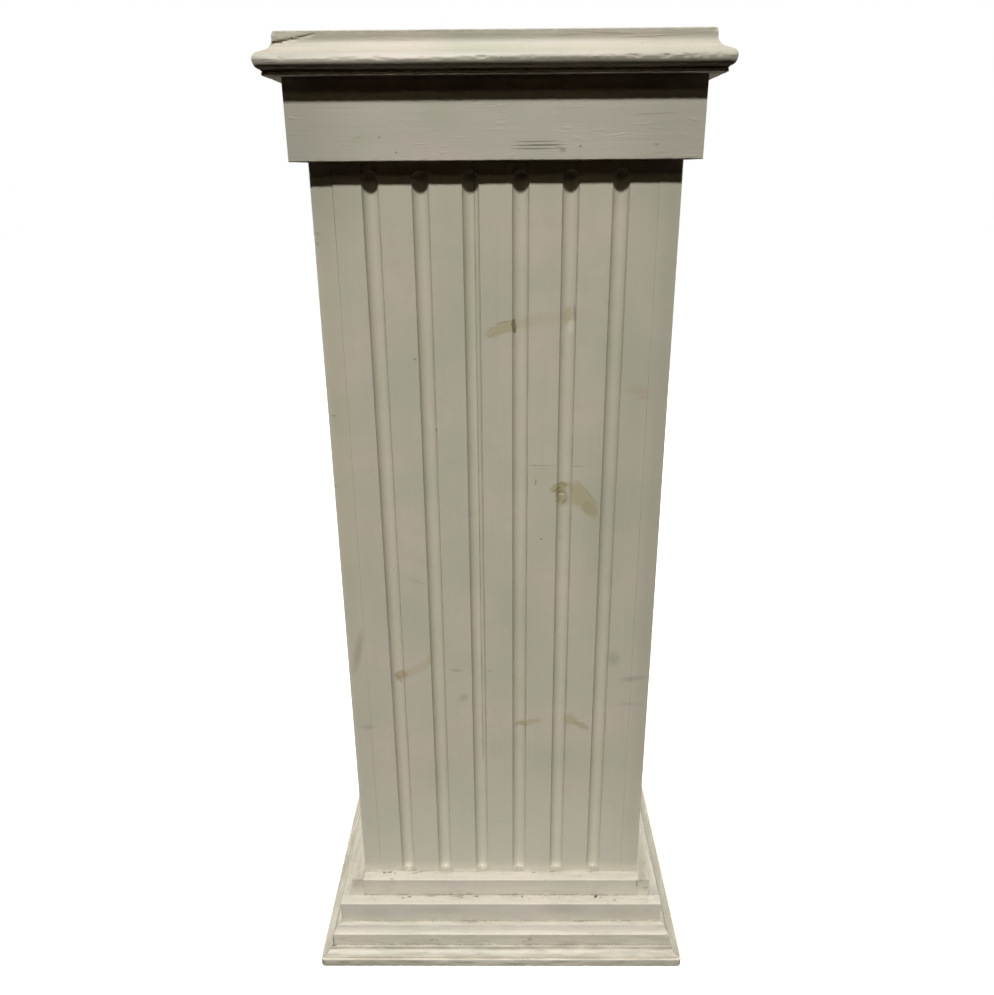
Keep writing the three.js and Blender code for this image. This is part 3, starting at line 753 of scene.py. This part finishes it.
# %% Build the tree for a run of trim
def mitred_run():
    tree, given = new_tree("mitred run", Run_Points="Int", Half_Length="Float", Mitred="Float",
                           Mitre_Gap="Float", Wear="Float", Wave="Float", Seed="Float",
                           Finish="Material")
    position = add(tree, "GeometryNodeInputPosition")
    path = add(tree, "GeometryNodeCurvePrimitiveLine",
               named={"Start": (-1, 0, 0), "End": (1, 0, 0)})
    path = add(tree, "GeometryNodeResampleCurve",
               named={"Curve": path, "Count": given["Run Points"]})
    kept = {}
    for label, shape in (("section", given["Geometry"]), ("along", path)):
        kept[label] = add(tree, "GeometryNodeStoreNamedAttribute", data_type="FLOAT_VECTOR",
                          named={"Geometry": shape, "Name": label, "Value": position})
    swept = add(tree, "GeometryNodeCurveToMesh", named={
        "Curve": kept["along"], "Fill Caps": True,
        "Profile Curve": add(tree, "GeometryNodeMeshToCurve", kept["section"])})
    at, along = (
        add(tree, SPLIT, add(tree, STORED, label, data_type="FLOAT_VECTOR"), out=None).outputs
        for label in ("section", "along"))
    cut = add(tree, "SUBTRACT", add(tree, "MULTIPLY", at["Y"], -1.0), given["Mitre Gap"])
    half = add(tree, MIX, given["Mitred"], named={2: given["Half Length"], 3: cut})
    place = add(tree, JOIN, add(tree, "MULTIPLY", along["X"], half), at["Y"], at["Z"])
    placed = add(tree, MOVED, named={"Geometry": swept, "Position": place})
    return finished_off(tree, knocked(tree, placed, given), given)


MITRED_RUN = mitred_run()

# %% [markdown]
# ## Running a tree and keeping the result
# A modifier's inputs are set by their identifiers before anything is evaluated. Then the
# result is copied out as a plain mesh, and the helper object is thrown away with its
# modifier. A sweep can come out inside in, so the volume is measured and the faces turned
# if it is negative.

# %% Turn a mesh through a tree into a plain mesh
def through(tree, mesh, **values):
    helper = bpy.data.objects.new("helper", mesh)
    bpy.context.scene.collection.objects.link(helper)
    modifier = helper.modifiers.new("tree", "NODES")
    modifier.node_group = tree
    for item in tree.interface.items_tree:
        label = item.name.replace(" ", "_").lower()
        if item.item_type == "SOCKET" and item.in_out == "INPUT" and label in values:
            modifier[item.identifier] = values[label]
    bpy.context.view_layer.update()
    ready = helper.evaluated_get(bpy.context.evaluated_depsgraph_get())
    plain = bpy.data.meshes.new_from_object(ready)
    bpy.data.objects.remove(helper)
    bpy.data.meshes.remove(mesh)
    return plain


def attach(mesh, attributes):
    """Paint numbers on the mesh, one for each point."""
    for label, values in attributes.items():
        mesh.attributes.new(label, "FLOAT", "POINT").data.foreach_set("value", values)


def volume(mesh):
    mesh.calc_loop_triangles()
    spots = [v.co for v in mesh.vertices]
    return sum(spots[a].dot(spots[b].cross(spots[c])) / 6
               for a, b, c in (t.vertices for t in mesh.loop_triangles))


def settle(node, mesh, turned=0.0):
    """Turn a front mesh to its side and let it stand for its node."""
    if volume(mesh) < 0:
        print(node, "was inside out")
        mesh.flip_normals()
    for label in ("section", "along", "bead", "face", "torn", "ridge"):  # the tree's own
        if label in mesh.attributes:
            mesh.attributes.remove(mesh.attributes[label])
    mesh.transform(Matrix.Rotation(math.radians(turned), 4, "Z"))
    mesh.polygons.foreach_set("use_smooth", [True] * len(mesh.polygons))
    mesh.set_sharp_from_angle(angle=math.radians(28))
    mesh.name = node + " surface"
    piece = bpy.data.objects.new(node + "_painted", mesh)
    bpy.context.scene.collection.objects.link(piece)
    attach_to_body(piece, "root")
    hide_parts(node)
    print(f"{node}: {len(mesh.polygons)} faces")


print("ready to make pieces")

# %% Make one run of trim from its profile, and the four sides of a layer
SIDES = {"front": 0, "right": 90, "back": 180, "left": -90}
MITRE_GAP = 0.3
NEAR = {"edge": 2.2, "nook": 1.7, "bead": 2.4, "grime_and_shade": 3.2}  # how far each reaches, in mm
FIRST_SEED, SEED_STEP = 17, 211
seeds = iter(range(FIRST_SEED, 10000, SEED_STEP))


def run_of_trim(node, drawn, finish, side, mitred, step=2.4, wear=0.5, wave=0.12):
    mesh = bpy.data.meshes.new(node)
    ring = [(0, -(drawn["back"] + r) * MM, z * MM) for r, z in drawn["loop"]]
    mesh.from_pydata(ring, [(i, (i + 1) % len(ring)) for i in range(len(ring))], [])
    # the edge and nook marks reach twice as far on the sides of the base
    dirty = side in ("left", "right") and drawn["loop"][0][1] < FRIEZE_BOTTOM
    wider = {"edge": 2.0, "nook": 2.0} if dirty else {}
    attach(mesh, {label: [nearness(p, drawn[label], radius * wider.get(label, 1))
                          for p in drawn["loop"]] for label, radius in NEAR.items()})
    low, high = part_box(node)
    half = (high[0] - low[0]) / 2 if side in ("front", "back") else (high[1] - low[1]) / 2
    if not mitred and half < (drawn["back"] + 5) * MM:
        half += 0.2 * MM  # it stands between its neighbours, and paint fills the joints
    spacing = step / 2 if side == "front" else step
    return through(MITRED_RUN, mesh, run_points=int(2 * half / MM / spacing), half_length=half,
                   mitred=float(mitred), mitre_gap=MITRE_GAP / math.sqrt(2) * MM, wear=wear,
                   wave=wave, seed=float(next(seeds)), finish=finish)


def four_runs(group, drawn, slot, finish, mitred, **more):
    """All four sides of one layer, each with its own seed."""
    for side, turned in SIDES.items():
        node = f"{group}_{side}"
        paint = FINISH[f"{finish} {'X' if side in ('front', 'back') else 'Y'}"]
        mesh = run_of_trim(node, drawn, paint, side, mitred, **more)
        press(mesh, DENTS.get(node, []))
        settle(node, mesh, turned)


print("each piece takes the next seed, from", FIRST_SEED, "on in steps of", SEED_STEP)

# %% [markdown]
# ## Dents and chips
# A knock leaves a small hollow with a rim, deepest in its middle. It is pressed into the
# finished mesh, so it shows in outline too, which a bump can't do.

# %% Write the press, and list the dents by piece
def press(mesh, dents):
    """Each dent: centre x, out, up, radius, and how far it goes sideways, in and down, in mm."""
    for x, out, up, radius, sideways, inwards, downwards in dents:
        centre = Vector((x, -out, up)) * MM
        for v in mesh.vertices:
            away = v.co - centre
            if not sideways:
                away.x *= 0.55  # knocks on an edge come out longer than they are wide
            share = 1 - away.length / (radius * MM)
            if share > 0:
                v.co += Vector((sideways, inwards, -downwards)) * MM * min(1, share * 1.6)


DENTS = {
    # the split that runs in from the left end, drawn as a row of small pits
    "cornice_front": [(-183 + 1.2 * i, 182.9, 990.4 + 0.22 * i, 1.4 - 0.02 * i, 0,
                       1.7 - 0.045 * i, 0.1) for i in range(31)]
    # the arris worn round over its left half
    + [(-178 + 5 * i, 196.8, 979.2, 4.6, 0, 0.16, 0.34 * min(1, (36 - i) / 10)) for i in range(36)]
    # chips along the arris of the nose, most of them towards its right end
    + [(x, 197.4, 978.0, r, 0, 0.35, 0.35) for x, r in (
        (109, 2.0), (114, 1.6), (117, 2.4), (137, 2.6), (141, 2.0), (155, 2.2), (163, 1.6),
        (171, 2.4), (182, 2.0), (-12, 2.0), (-9, 1.6), (31, 1.6), (-96, 2.0), (-128, 1.6))],
}
# Hands and feet have worn the mitres round: each end alike, so that neighbours still meet
for side in SIDES:
    for group, level, out, radius, worn in (
            ("cornice", 976, 197, 5, 0.4), ("cornice", 1000, 182, 4, 0.7),
            ("lower_cove", 13, 214, 4, 0.6), ("upper_cove", 36, 202, 4, 0.5)):
        DENTS.setdefault(f"{group}_{side}", []).extend(
            (s * out, out, level, radius, -s * worn, worn, 0) for s in (-1, 1))
print(sum(len(d) for d in DENTS.values()), "dents listed")

# %% [markdown]
# ## The base
# From the floor up: the foot board, a thin hollow strip and a tall one with a hollow on
# its ledge, both mitred, and two plain strips that overlap at the corners.

# %% Run the four layers of the base
base = ("base_paint", "base")
four_runs("lower_cove", cove_profile("lower_cove", 2.5, 6.8), *base, True, wear=0.8, wave=0.25)
four_runs("upper_cove", cove_profile("upper_cove", 5.3, 9.8, beads=True, flatness=0.5, film_and_shade=0.1),
          *base, True, wear=0.7, wave=0.2)
four_runs("lower_step", strip_profile("lower_step", beads=True), *base, False)
four_runs("upper_step", strip_profile("upper_step", beads=True, film_and_shade=(0.7, 0.45, 0.3)), *base, False)

# %% [markdown]
# ## The head
# The frieze is four plain boards. The cornice is one moulding, mitred, and nailed round
# them flush with the top.

# %% Run the frieze and the cornice
four_runs("frieze", strip_profile("frieze"), "head_paint", "head", False, wear=0.35)
four_runs("cornice", cornice_profile(), "head_paint", "head", True, wear=0.5)

# %% [markdown]
# ## The slabs
# The foot board and the top board are square slabs. The outline is walked once with its
# corners rounded, and then repeated level by level, drawn in a little where the arris is
# eased. The same knocks as on the trim then go over them, in a small tree of their own.

# %% Build the tree for a worn board, and a board from rings of points
def worn_board():
    tree, given = new_tree("worn board", Wear="Float", Wave="Float", Seed="Float",
                           Finish="Material")
    return finished_off(tree, knocked(tree, given["Geometry"], given), given)


def stacked(name, points, count, attributes):
    """A closed mesh from rings of count points each, in mm, the lowest ring first."""
    rings = len(points) // count
    faces = [(r * count + i, r * count + (i + 1) % count, (r + 1) * count + (i + 1) % count,
              (r + 1) * count + i) for r in range(rings - 1) for i in range(count)]
    faces += [tuple(range(count - 1, -1, -1)), tuple(range(len(points) - count, len(points)))]
    mesh = bpy.data.meshes.new(name)
    mesh.from_pydata([tuple(v * MM for v in p) for p in points], [], faces)
    attach(mesh, attributes)
    return mesh


WORN_BOARD = worn_board()

# %% Build the two slabs
SLAB_STEP = 3  # the spacing of the points along its edges, in mm


def corner_square(half, radius):
    """A square outline with rounded corners, anticlockwise from its front, in mm."""
    out = []
    for turned in (-90, 0, 90, 180):
        a = math.radians(turned + 90)
        for x, y in arc(half - radius, -half + radius, radius, radius, -90, 0, 15):
            out.append((x * math.cos(a) - y * math.sin(a), x * math.sin(a) + y * math.cos(a)))
    return filled_in(out, lambda spot: SLAB_STEP)


def slab(node, radius, arris, finish, wear):
    low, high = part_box(node)
    half, bottom, top = high[0] / MM, low[2] / MM, high[2] / MM
    # each ring: how far it is drawn in, and its level
    eased = [(arris * (1 - math.cos(a)), arris * (1 - math.sin(a)))
             for a in (math.radians(t) for t in range(0, 91, 18))]
    rings = [(inset, bottom + rise) for inset, rise in reversed(eased)]
    rings += [(0, bottom + (top - bottom) * i / 4) for i in (1, 2, 3)]
    rings += [(inset, top - rise) for inset, rise in eased] + [(inset, top) for inset in (3, 6, 12)]
    outline = corner_square(half, radius)
    points, edge = [], []
    for inset, z in rings:
        scale = (half - inset) / half
        points += [(x * scale, y * scale, z) for x, y in outline]
        worn = max(0, 1 - min(abs(z - top) + inset, abs(z - bottom) + inset) / 2.4)
        edge += [worn] * len(outline)
    mesh = stacked(node, points, len(outline), {"edge": edge})
    settle(node, through(WORN_BOARD, mesh, wear=wear, wave=0.1, seed=float(next(seeds)),
                         finish=finish))


slab("foot_board", 5, 1.2, FINISH["foot"], 0.9)
slab("top_board", 1.5, 0.9, FINISH["head X"], 0.3)

# %% [markdown]
# ## The fluted boards
# A flute is a rule too: a round-nosed cutter of 8 mm radius runs straight up the board, 5
# mm deep, and lifts out at each end. So the depth at a point depends only on how far it is
# from the cutter's path. The board starts as a flat grid with its columns close together at
# the rims. Near a flute's end the grid is first bent from square to round, so that a ring
# of points lies just on the rim. Then the tree presses in each point by the cutter's depth.

# %% Name the flutes' sizes
FLUTE_WIDTH, FLUTE_DEPTH = 15.0, 5.0
FLUTE_PITCH, FLUTE_COUNT = 44.6, 6
FLUTE_RADIUS = (FLUTE_WIDTH ** 2 / 4 + FLUTE_DEPTH ** 2) / (2 * FLUTE_DEPTH)
HALF_FLUTE = FLUTE_WIDTH / 2
CENTRES = [(i - (FLUTE_COUNT - 1) / 2) * FLUTE_PITCH for i in range(FLUTE_COUNT)]
# the middles of the rounds at a flute's top and foot
UPPER, LOWER = FRIEZE_BOTTOM - 7.0 - HALF_FLUTE, BASE_TOP + 3.5 + HALF_FLUTE
print(f"the round-nosed cutter has a radius of {FLUTE_RADIUS:.2f} mm")


# %% Build the tree for the flutes
def fluted_board():
    tree, given = new_tree("fluted board", First="Float", Pitch="Float", Count="Float",
                           Half_Width="Float", Depth="Float", Radius="Float",
                           Upper_Centre="Float", Lower_Centre="Float", Rim="Float",
                           Wear="Float", Wave="Float", Seed="Float", Finish="Material")
    spot = add(tree, VECTOR, add(tree, "GeometryNodeInputPosition"), named={3: 1 / MM},
               operation="SCALE")
    at = add(tree, SPLIT, spot, out=None).outputs
    torn, ridge, face = (add(tree, STORED, label, data_type="FLOAT")
                         for label in ("torn", "ridge", "face"))

    # How far the point is from the nearest cutter's path, sideways and past its end
    share = add(tree, "DIVIDE", add(tree, "SUBTRACT", at["X"], given["First"]), given["Pitch"])
    nearest = add(tree, "MAXIMUM", add(tree, "ROUND", share), 0.0)
    nearest = add(tree, "MINIMUM", nearest, add(tree, "SUBTRACT", given["Count"], 1.0))
    off = add(tree, "MULTIPLY", add(tree, "SUBTRACT", share, nearest), given["Pitch"])
    above = add(tree, "SUBTRACT", at["Z"], given["Upper Centre"])
    below = add(tree, "SUBTRACT", given["Lower Centre"], at["Z"])
    past = add(tree, "MAXIMUM", add(tree, "MAXIMUM", above, below), 0.0)
    away = add(tree, VECTOR, add(tree, JOIN, off, past, 0.0), out="Value", operation="LENGTH")

    # A torn rim: the cutter wandered, so the distance is off by a noise there
    jitter = add(tree, NOISE, spot, named={"Scale": 1 / 6, "Detail": 4, "Roughness": 0.7})
    jitter = add(tree, "SUBTRACT", jitter, 0.5)
    away = add(tree, "MULTIPLY_ADD", add(tree, "MULTIPLY", torn, 3.0), jitter, away)

    # The cutter's depth inside the rim, and the rim's slope carried on outside it
    inside = add(tree, "MINIMUM", away, given["Half Width"])
    squares = [add(tree, "POWER", value, 2.0) for value in (given["Radius"], inside, given["Rim"])]
    arc_height = add(tree, "SQRT", add(tree, "SUBTRACT", squares[0], squares[1]))
    cut = add(tree, "SUBTRACT", arc_height, add(tree, "SUBTRACT", given["Radius"], given["Depth"]))
    beyond = add(tree, "MAXIMUM", add(tree, "SUBTRACT", away, given["Half Width"]), 0.0)
    cut = add(tree, "MULTIPLY_ADD", beyond, -2.4, cut)

    # Paint rounds the rim: the larger of depth and zero, with a soft turn between them
    root = add(tree, "SQRT", add(tree, "MULTIPLY_ADD", cut, cut, squares[2]))
    cut = add(tree, "MULTIPLY", add(tree, "ADD", cut, root), 0.5)
    cut = add(tree, "MULTIPLY_ADD", ridge, -0.35, cut)
    cut = add(tree, "MULTIPLY", add(tree, "MULTIPLY", cut, face), MM)
    fluted = add(tree, MOVED, named={"Geometry": given["Geometry"],
                                     "Offset": add(tree, JOIN, 0.0, cut, 0.0)})
    return finished_off(tree, knocked(tree, fluted, given), given)


FLUTED_BOARD = fluted_board()

# %% Choose the grid's columns and rows
NEAR_RIM = (0, 0.8, 2.2, 3.6, 4.9, 6.0, 6.8, 7.25, 7.5, 7.75, 8.2, 9.2, 12)
RIDGED_FLUTE, RIDGE = 2, (2.0, 2.4, 2.75, 3.1)  # the tool left a ridge in the third flute


def columns(half, flutes):
    if not flutes:
        return [half * (i / 24 - 1) for i in range(49)]
    marks = {round(c + s * u, 3) for c in CENTRES for u in NEAR_RIM for s in (-1, 1)}
    marks |= {round(c + FLUTE_PITCH / 2, 3) for c in CENTRES[:-1]}
    marks |= {round(CENTRES[RIDGED_FLUTE] + u, 3) for u in RIDGE}
    marks |= {s * (half - 0.4) for s in (-1, 1)}
    outer = CENTRES[-1] + NEAR_RIM[-1]
    marks |= {s * (outer + (half - outer) * i / 5) for i in (1, 2, 3, 4, 5) for s in (-1, 1)}
    return sorted(marks)


def rows(flutes):
    ends = [UPPER + u for u in NEAR_RIM] + [LOWER - u for u in NEAR_RIM] if flutes else []
    count = round((UPPER - LOWER) / (5 if flutes else 18))
    straight = [LOWER + (UPPER - LOWER) * i / count for i in range(1, count)]
    hidden = [BOARD_BOTTOM, 40, 70, BASE_TOP - 2, FRIEZE_BOTTOM, 940, BOARD_TOP]
    foot = [BASE_TOP + u for u in (0, 0.6, 1.2, 1.9, 2.7)]
    return sorted({round(z, 3) for z in ends + straight + hidden + foot})


def bent_to_round(x, z):
    """Bend the square grid near a flute's end, so that the square ring at the rim is round."""
    centre = min(CENTRES, key=lambda c: abs(c - x))
    middle = UPPER if z > UPPER else LOWER if z < LOWER else z
    u, w = x - centre, z - middle
    square, away = max(abs(u), abs(w)), math.hypot(u, w)
    if w == 0 or square > NEAR_RIM[-1]:
        return x, z
    spread = max(0, (square - HALF_FLUTE) / (NEAR_RIM[-1] - HALF_FLUTE))
    factor = 1 + (square / away - 1) * (1 - spread)
    return centre + u * factor, middle + w * factor


print(len(columns(164.2, True)), "columns,", len(rows(True)), "rows")

# %% [markdown]
# ## Where a board is worn or dirty, and where shade is painted
# Dirt gathers at the foot of a board and under the frieze, and in the lower ends of its
# flutes; their upper ends, in the frieze's shadow, are darkened as painted shade. The rims
# carry a darker line, stronger on the right rim. On the front board, one rim is torn at a
# knot, and the tool has left a fine ridge in one flute. Each is a number from 0 to about 1
# at a point.

# %% Work out the wear at a point of the face
WEAR_AND_SHADE = ("edge", "nook", "bead", "grime_and_shade", "face", "torn", "ridge")
TORN_FLUTE, RIDGE_FOOT = 3, 260


def ramp(distance, width):
    """1 at no distance, falling to 0 at width."""
    return max(0, 1 - abs(distance) / width)


def board_ends(z):
    """Dirt and lumps of paint where the board meets the base and the frieze."""
    return max(ramp(z - BASE_TOP, 2.2), 0.6 - abs(z - FRIEZE_BOTTOM) / 3), ramp(z - BASE_TOP, 2.6)


def face_wear_and_shade(x, z, row, flutes, front):
    """The values named in WEAR_AND_SHADE. row is the height of the point before the grid was bent."""
    flute = CENTRES.index(min(CENTRES, key=lambda c: abs(c - x)))
    u = x - CENTRES[flute]
    nook, bead = board_ends(row)
    rim = ramp(abs(u) - HALF_FLUTE, 1.2) if flutes and LOWER < row < UPPER else 0
    if flutes and abs(u) < 7:
        # the middle term is dirt in the flute's foot; the last darkens its top end inside the frieze's
        # shadow, as painted shade
        nook = max(nook, 0.7 * ramp(z - LOWER + 5, 5), 0.8 * (z > UPPER - 1))
    torn = front and flute == TORN_FLUTE and 345 < row < 437 and -10.5 < u < -4
    ridge = front and flute == RIDGED_FLUTE and u > 2.2 and row > RIDGE_FOOT
    low_end = flutes and abs(u) < 8 and z < LOWER - 1
    grime_and_shade = (0.75 if u > 0 else 0.4) * ramp(abs(u) - 7.2, 1.0) * (rim > 0)
    grime_and_shade += 1.2 * ridge * ramp(u - RIDGE[-1], 0.6) + 0.8 * low_end
    return 0.45 * rim, nook, bead, grime_and_shade, flutes, torn, ridge and u < 2.9


print("at a rim:", dict(zip(WEAR_AND_SHADE, face_wear_and_shade(CENTRES[0] + HALF_FLUTE, 500, 500, True, True))))

# %% [markdown]
# ## The boards
# The side boards stand 0.8 mm behind the front board's face, which leaves a fine seam 20
# mm in from each corner. Paint has filled it lower down on the left, and all the way up on
# the right, so the boards' ends are let out by the thickness of the fill there.

# %% Build one board of the shaft
SIDE_FILL, FRONT_FILL = 0.75, 0.21  # how far the fill lets out a side board and the front one
OPEN_ABOVE, FULL_BELOW = 860, 740  # the heights between which the left seam closes, in mm
SIDE_ARRIS, FRONT_ARRIS = 1.5, 0.45


def filled(side, z):
    """How full of paint the seam beside a side board is at a height, 0 to 1."""
    if side == "right":
        return 1.0
    share = min(1, max(0, (OPEN_ABOVE - z) / (OPEN_ABOVE - FULL_BELOW)))
    return share * share * (3 - 2 * share)


def board_points(side, half, flutes, front_end):
    """The board's rings of points, lowest first, and the values in WEAR_AND_SHADE at each."""
    sideways, front = side in ("left", "right"), side == "front"
    radius = SIDE_ARRIS if sideways else FRONT_ARRIS
    across = columns(half - radius, flutes)
    quarter = [math.radians(t) for t in (22.5, 45, 67.5, 90)]
    points, worn = [], []
    for z in rows(flutes):
        ends, soft = {}, {}
        for s in (-1, 1):
            if sideways:
                fill = SIDE_FILL * filled(side, z) if s == front_end else 0
            else:
                fill = FRONT_FILL * filled("left" if s < 0 else "right", z) if front else 0
            ends[s] = half + fill
            soft[s] = radius if sideways else radius * (1 - 0.8 * min(1, fill / FRONT_FILL))
        for x in across:
            bx, bz = bent_to_round(x, z) if flutes else (x, z)
            if x in (across[0], across[-1]):
                s = -1 if x < 0 else 1
                bx = s * (ends[s] - soft[s])
            points.append((bx, -SHAFT_FACE, bz))
            worn.append(face_wear_and_shade(bx, bz, z, flutes, front))
        # then round the arris, along the hidden back, and round the other arris
        arrises = {s: [(s * (ends[s] - soft[s] * (1 - math.sin(a))),
                        -SHAFT_FACE + soft[s] * (1 - math.cos(a))) for a in quarter] for s in (-1, 1)}
        deep = (-SHAFT_FACE + 6, -SHAFT_BACK - 6, -SHAFT_BACK)
        hidden = [(ends[1], y) for y in deep] + [(half * f, deep[-1]) for f in (0.5, 0, -0.5)]
        hidden += [(-ends[-1], y) for y in deep[::-1]]
        for walk, edge in ((arrises[1], sideways), (hidden, 0), (arrises[-1][::-1], sideways)):
            points += [(x, y, z) for x, y in walk]
            worn += [(edge, *board_ends(z), 0, 0, 0, 0)] * len(walk)
    return points, worn


def shaft_board(side, turned, flutes, front_end=0):
    """front_end: which end of a side board shows on the front, 1, -1 or 0 for none."""
    node = f"shaft_{side}_board"
    low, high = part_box(node)
    half = (high[1] - low[1] if side in ("left", "right") else high[0] - low[0]) / 2 / MM
    points, worn = board_points(side, half, flutes, front_end)
    attributes = {label: [float(v) for v in values] for label, values in zip(WEAR_AND_SHADE, zip(*worn))}
    mesh = stacked(node, points, len(points) // len(rows(flutes)), attributes)
    values = {"wear": 0.45, "wave": 0.15, "seed": float(next(seeds)), "finish": FINISH["shaft"]}
    if flutes:
        values |= {"first": CENTRES[0], "pitch": FLUTE_PITCH, "count": float(FLUTE_COUNT),
                   "half_width": HALF_FLUTE, "depth": FLUTE_DEPTH, "radius": FLUTE_RADIUS,
                   "upper_centre": UPPER, "lower_centre": LOWER, "rim": 0.3}
    mesh = through(FLUTED_BOARD if flutes else WORN_BOARD, mesh, **values)
    settle(node, mesh, turned)


shaft_board("front", 0, True)
shaft_board("left", -90, True, front_end=1)
shaft_board("right", 90, True, front_end=-1)
shaft_board("back", 180, False)

# %% [markdown]
# ## The end
# Last, the view layer is brought up to date.

# %% Bring the view layer up to date
bpy.context.view_layer.update()
